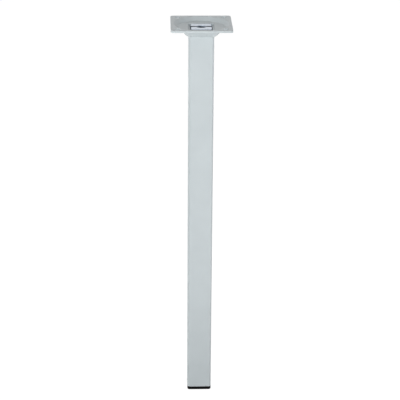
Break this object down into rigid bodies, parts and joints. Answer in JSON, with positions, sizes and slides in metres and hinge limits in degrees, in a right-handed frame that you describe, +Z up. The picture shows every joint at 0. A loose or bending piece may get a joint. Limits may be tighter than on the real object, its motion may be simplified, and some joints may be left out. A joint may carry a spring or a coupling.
{
  "type": "table leg",
  "caption": "White square steel table leg: box tube welded under a dished screw-on top plate, with a threaded bush in its mouth and a black plastic foot plug.",
  "frame": {"origin": "centre of the foot, on the floor", "axes": "+Z up the leg to the table top, -Y towards the viewer of the picture, +X to the right"},
  "size_m": [0.06, 0.06, 0.4],
  "materials": {
    "white_paint": "cool white powder coat, satin gloss, fine orange peel",
    "zinc": "turned steel, bright zinc plate with a faint blue tint",
    "black_plastic": "moulded black polyethylene, fine matt grain"
  },
  "bodies": {
    "root": {"leg_tube": "white_paint", "mounting_plate": "white_paint", "weld_bead": "white_paint", "threaded_bush": "zinc", "foot_plug": "black_plastic"}
  },
  "joints": []
}
